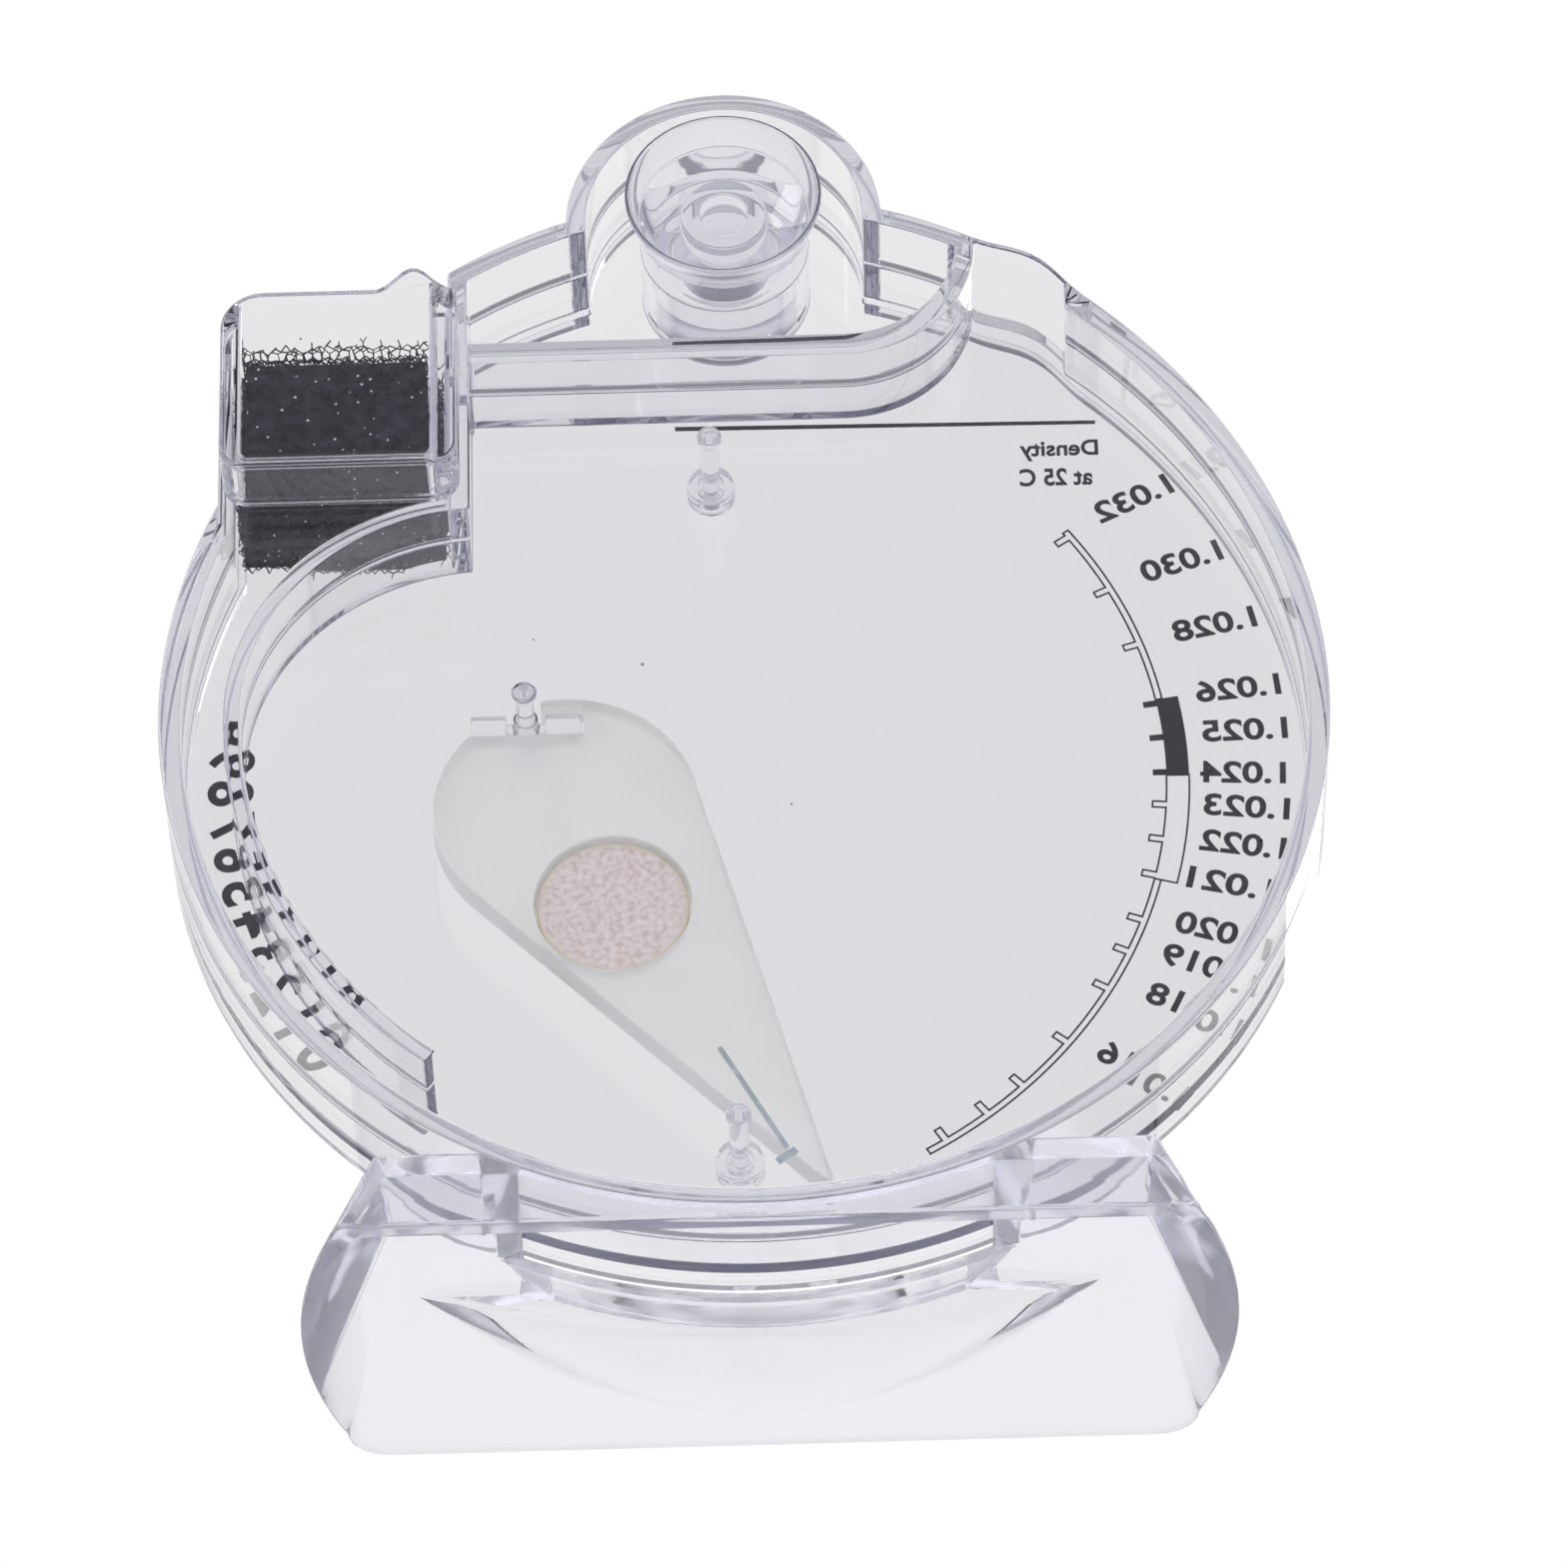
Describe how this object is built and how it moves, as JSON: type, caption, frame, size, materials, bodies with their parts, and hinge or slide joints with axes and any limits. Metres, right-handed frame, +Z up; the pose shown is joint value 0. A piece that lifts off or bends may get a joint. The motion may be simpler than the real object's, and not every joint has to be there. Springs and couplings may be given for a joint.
{
  "type": "swing-arm hydrometer",
  "caption": "Clear flat round water chamber on a hollow foot, with a pivoting float arm, foam inlet box, pouring spout and suction cup.",
  "frame": {"origin": "Middle of the footprint, on the surface that the foot stands on.", "axes": "+Z up, the dial plate faces -Y, the flat back and the suction cup face +Y, the foam box is at +X and the scale at -X."},
  "size_m": [0.1324, 0.059, 0.1548],
  "materials": {
    "back_cover": "clear, glossy",
    "front_cover": "clear, glossy",
    "foot_skirt": "clear, glossy",
    "filter_housing": "clear, glossy",
    "filter_foam": "matt, open-cell foam",
    "swing_arm": "milky, satin",
    "arm_weight": "speckled, matt",
    "bearing_cross": "clear, glossy",
    "pivot_axle": "clear, glossy",
    "top_stop_pin": "clear, glossy",
    "top_stop_socket": "clear, glossy",
    "bottom_stop_pin": "clear, glossy",
    "bottom_stop_socket": "clear, glossy",
    "suction_cup": "clear, soft, glossy"
  },
  "bodies": {
    "case": {"back_cover": "back_cover", "front_cover": "front_cover", "foot_skirt": "foot_skirt", "filter_housing": "filter_housing", "pivot_axle": "pivot_axle", "top_stop_pin": "top_stop_pin", "top_stop_socket": "top_stop_socket", "bottom_stop_pin": "bottom_stop_pin", "bottom_stop_socket": "bottom_stop_socket"},
    "arm": {"swing_arm": "swing_arm", "arm_weight": "arm_weight", "bearing_cross": "bearing_cross"},
    "cup": {"suction_cup": "suction_cup"},
    "foam": {"filter_foam": "filter_foam"}
  },
  "joints": [
    {"name": "arm_swing", "type": "hinge", "parent": "case", "child": "arm", "pos_m": [0.0249, 0.01185, 0.0704], "axis": [0, 1, 0], "range_deg": [-1, 102]},
    {"name": "cup_turn", "type": "hinge", "parent": "case", "child": "cup", "pos_m": [0.001, 0.02105, 0.1363], "axis": [0, 1, 0], "continuous": true},
    {"name": "foam_pull", "type": "slide", "parent": "case", "child": "foam", "axis": [0, 0, 1], "range_m": [0, 0.027]}
  ]
}
